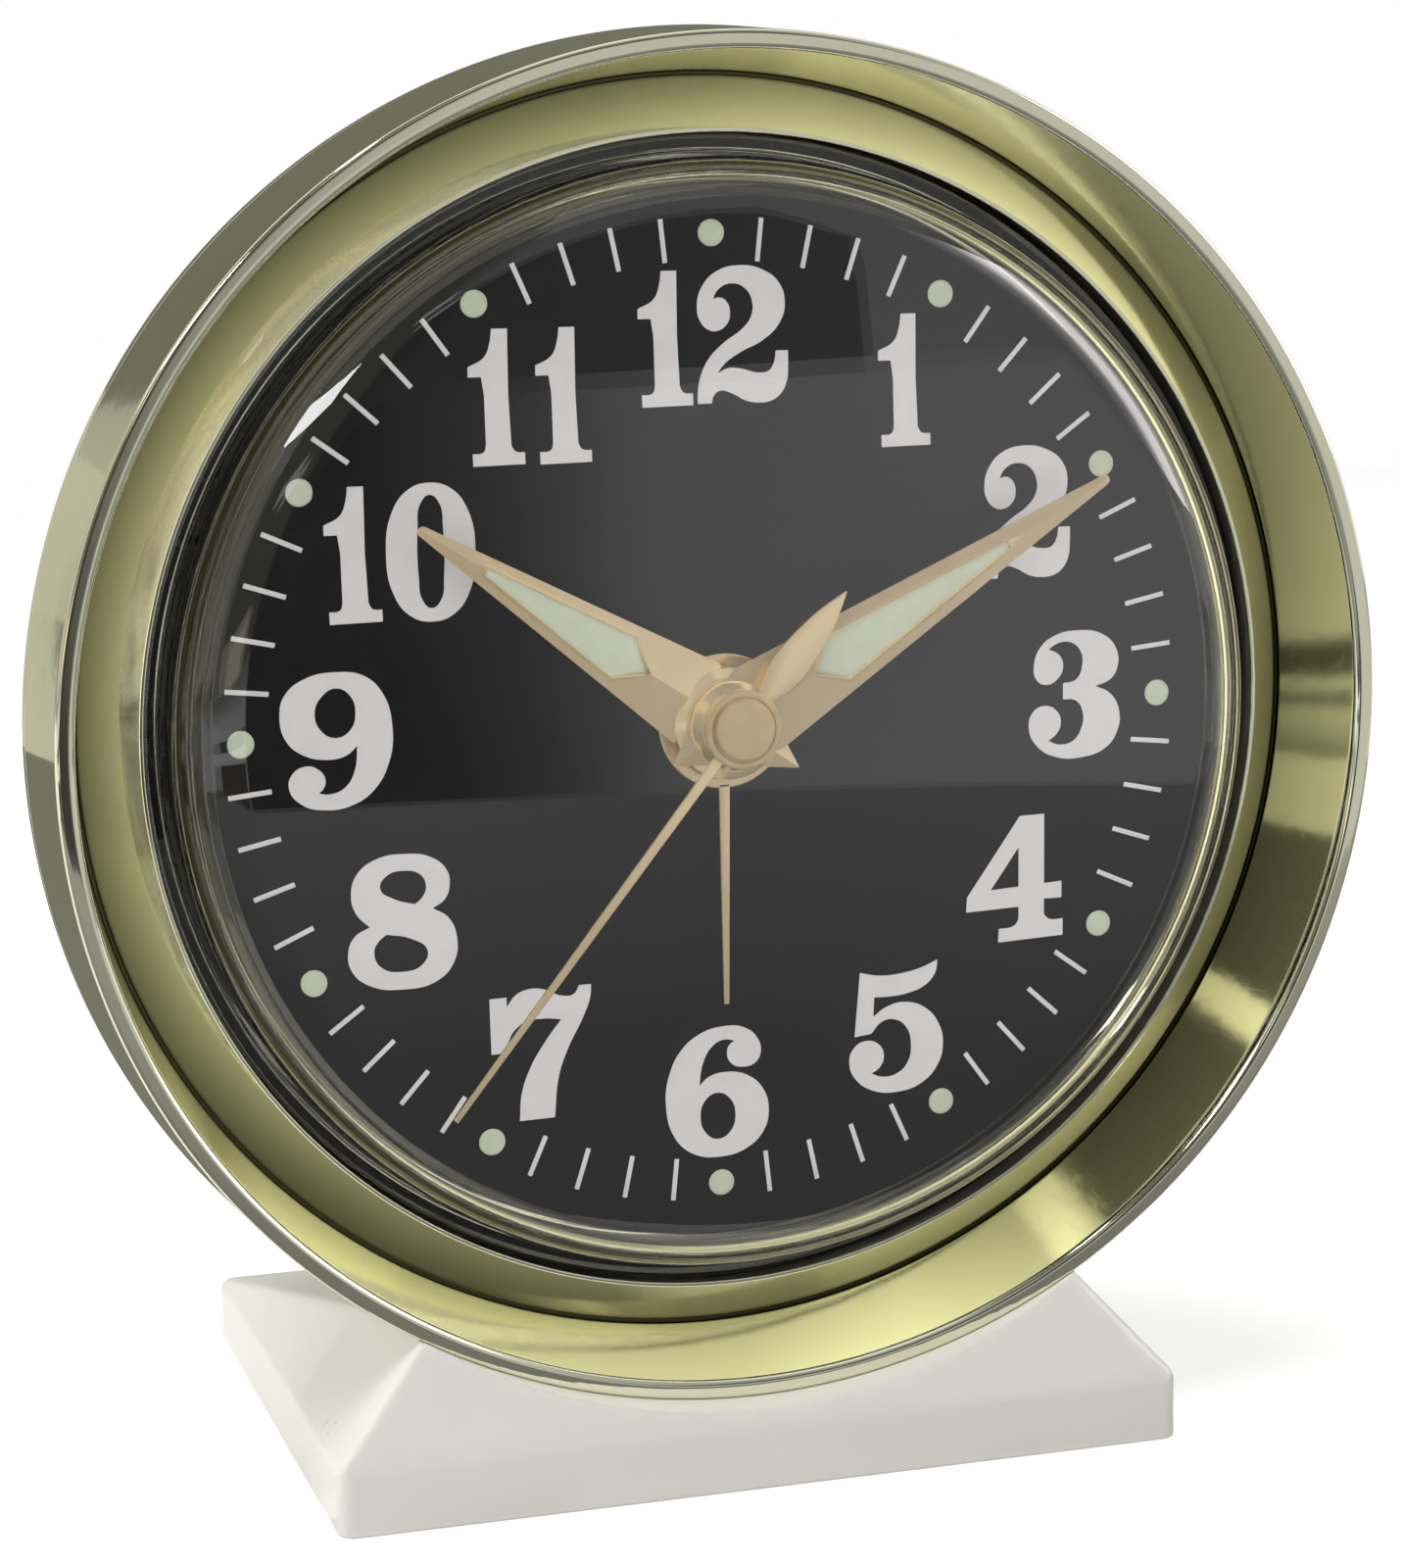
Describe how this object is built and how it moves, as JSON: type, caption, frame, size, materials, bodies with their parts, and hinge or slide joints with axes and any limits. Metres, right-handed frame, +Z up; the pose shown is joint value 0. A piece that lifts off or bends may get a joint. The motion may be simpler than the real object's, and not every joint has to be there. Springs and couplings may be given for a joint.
{
  "type": "mechanical alarm clock",
  "caption": "Wind-up alarm clock: round gilt drum with a deep bezel, domed lens and hands on a hipped plinth, with going train, alarm train, bell, keys and setting knobs.",
  "frame": {"origin": "on the table, under the middle of the whole clock seen from above", "axes": "+Z up, the dial faces -Y, +X to the right seen from the front"},
  "size_m": [0.1008, 0.052, 0.1059],
  "materials": {
    "plinth": "moulded ivory plastic, semi-gloss",
    "gilt": "polished pale gold plating",
    "crystal": "clear moulded crystal",
    "dial_black": "matt black paint",
    "lume": "pale green luminous paint",
    "hand_gilt": "polished pale gold plating",
    "cover_gilt": "brushed pale gold plating",
    "steel": "ground steel",
    "blued": "blued spring steel",
    "brass": "stamped brass",
    "bell_plate": "nickel plating"
  },
  "bodies": {
    "clock": {"base": "plinth", "base_screws": "steel", "case_drum": "gilt", "bezel": "gilt", "lens": "crystal", "dial": "dial_black", "hour_dots": "lume", "back_cover": "cover_gilt", "cover_screws": "steel", "front_plate": "brass", "rear_plate": "brass", "pillars": "steel", "standoffs": "brass", "time_mainspring": "blued", "alarm_mainspring": "blued", "hairspring": "blued", "minute_post": "steel", "release_lever": "blued", "bell": "bell_plate", "bell_post": "steel"},
    "seconds": {"seconds_arbor": "steel", "seconds_wheel": "brass", "second_hand": "hand_gilt", "second_cap": "hand_gilt"},
    "minutes": {"centre_arbor": "brass", "centre_wheel": "brass", "cannon_pinion": "brass", "minute_hand": "hand_gilt", "minute_lume": "lume"},
    "third": {"third_arbor": "steel", "third_wheel": "brass"},
    "minute_gear": {"minute_wheel": "brass"},
    "hours": {"hour_wheel": "brass", "hour_hand": "hand_gilt", "hour_lume": "lume"},
    "time_drive": {"time_great_wheel": "brass"},
    "escape": {"escape_wheel": "brass"},
    "fork": {"pallet_fork": "brass"},
    "balance": {"balance_staff": "steel", "balance_wheel": "brass"},
    "regulator": {"regulator_lever": "steel"},
    "time_winder": {"time_winding_arbor": "steel", "time_ratchet": "steel", "time_key": "gilt"},
    "time_pawl": {"time_click": "steel"},
    "alarm_winder": {"alarm_winding_arbor": "steel", "alarm_ratchet": "steel", "alarm_key": "gilt"},
    "alarm_pawl": {"alarm_click": "steel"},
    "alarm_drive": {"alarm_great_wheel": "brass"},
    "verge": {"verge_wheel": "brass"},
    "striker": {"hammer": "steel"},
    "time_setter": {"time_set_arbor": "steel", "time_set_knob": "gilt"},
    "alarm_setter": {"alarm_set_arbor": "steel", "alarm_set_knob": "gilt"},
    "alarm_indicator": {"alarm_wheel": "brass", "alarm_hand": "hand_gilt"},
    "stop_button": {"alarm_stop_button": "gilt"}
  },
  "joints": [
    {"name": "seconds_spin", "type": "hinge", "parent": "clock", "child": "seconds", "pos_m": [0, -0.00367, 0.0555], "axis": [0, 1, 0], "continuous": true},
    {"name": "third_spin", "type": "hinge", "parent": "clock", "child": "third", "pos_m": [-0.0065, -0.00367, 0.06336], "axis": [0, 1, 0], "continuous": true},
    {"name": "minutes_spin", "type": "hinge", "parent": "clock", "child": "minutes", "pos_m": [0, -0.00367, 0.0555], "axis": [0, 1, 0], "continuous": true},
    {"name": "minute_gear_spin", "type": "hinge", "parent": "clock", "child": "minute_gear", "pos_m": [0.00925, -0.00367, 0.05807], "axis": [0, 1, 0], "continuous": true},
    {"name": "hours_spin", "type": "hinge", "parent": "clock", "child": "hours", "pos_m": [0, -0.00367, 0.0555], "axis": [0, 1, 0], "continuous": true},
    {"name": "time_drive_spin", "type": "hinge", "parent": "clock", "child": "time_drive", "pos_m": [0.0142, -0.00367, 0.04953], "axis": [0, 1, 0], "continuous": true},
    {"name": "escape_spin", "type": "hinge", "parent": "clock", "child": "escape", "pos_m": [0.00589, -0.00367, 0.06374], "axis": [0, 1, 0], "continuous": true},
    {"name": "time_set_spin", "type": "hinge", "parent": "clock", "child": "time_setter", "pos_m": [0.01561, -0.00367, 0.06526], "axis": [0, 1, 0], "continuous": true},
    {"name": "fork_rock", "type": "hinge", "parent": "clock", "child": "fork", "pos_m": [0.00331, -0.00367, 0.07024], "axis": [0, 1, 0], "range_deg": [-5, 5]},
    {"name": "balance_swing", "type": "hinge", "parent": "clock", "child": "balance", "pos_m": [0.00053, -0.00367, 0.07721], "axis": [0, 1, 0], "range_deg": [-135, 135], "stiffness_Nm_per_rad": 0.000004, "deforming": ["hairspring"]},
    {"name": "regulator_turn", "type": "hinge", "parent": "clock", "child": "regulator", "pos_m": [0.00053, -0.00367, 0.07721], "axis": [0, 1, 0], "range_deg": [-20, 20]},
    {"name": "time_winding", "type": "hinge", "parent": "clock", "child": "time_winder", "pos_m": [0.0142, -0.00367, 0.04953], "axis": [0, 1, 0], "continuous": true, "deforming": ["time_mainspring"]},
    {"name": "time_click_rock", "type": "hinge", "parent": "time_drive", "child": "time_pawl", "pos_m": [0.0212, -0.00367, 0.04659], "axis": [0, 1, 0], "range_deg": [-6, 0]},
    {"name": "alarm_winding", "type": "hinge", "parent": "clock", "child": "alarm_winder", "pos_m": [-0.015, -0.00367, 0.0505], "axis": [0, 1, 0], "continuous": true, "deforming": ["alarm_mainspring"]},
    {"name": "alarm_click_rock", "type": "hinge", "parent": "alarm_drive", "child": "alarm_pawl", "pos_m": [-0.02221, -0.00367, 0.0481], "axis": [0, 1, 0], "range_deg": [-6, 0]},
    {"name": "alarm_drive_spin", "type": "hinge", "parent": "clock", "child": "alarm_drive", "pos_m": [-0.015, -0.00367, 0.0505], "axis": [0, 1, 0], "continuous": true},
    {"name": "verge_spin", "type": "hinge", "parent": "clock", "child": "verge", "pos_m": [-0.02257, -0.00367, 0.06132], "axis": [0, 1, 0], "continuous": true},
    {"name": "hammer_swing", "type": "hinge", "parent": "clock", "child": "striker", "pos_m": [-0.0205, -0.00367, 0.06701], "axis": [0, 1, 0], "range_deg": [-8, 3]},
    {"name": "alarm_set_spin", "type": "hinge", "parent": "clock", "child": "alarm_setter", "pos_m": [0, -0.00367, 0.0435], "axis": [0, 1, 0], "continuous": true},
    {"name": "alarm_hand_spin", "type": "hinge", "parent": "clock", "child": "alarm_indicator", "pos_m": [0, -0.00367, 0.0555], "axis": [0, 1, 0], "continuous": true},
    {"name": "stop_button_slide", "type": "slide", "parent": "clock", "child": "stop_button", "axis": [0, 1, 0], "range_m": [-0.0022, 0]}
  ],
  "couplings": [
    {"joint": "third_spin", "follows": "seconds_spin", "ratio": -0.125},
    {"joint": "minutes_spin", "follows": "seconds_spin", "ratio": 0.016667},
    {"joint": "minute_gear_spin", "follows": "seconds_spin", "ratio": -0.0055556},
    {"joint": "hours_spin", "follows": "seconds_spin", "ratio": 0.0013889},
    {"joint": "time_drive_spin", "follows": "seconds_spin", "ratio": -0.0027778},
    {"joint": "escape_spin", "follows": "seconds_spin", "ratio": -8},
    {"joint": "time_set_spin", "follows": "seconds_spin", "ratio": 0.016667},
    {"joint": "alarm_hand_spin", "follows": "alarm_set_spin", "ratio": -0.25},
    {"joint": "verge_spin", "follows": "alarm_drive_spin", "ratio": -5}
  ]
}
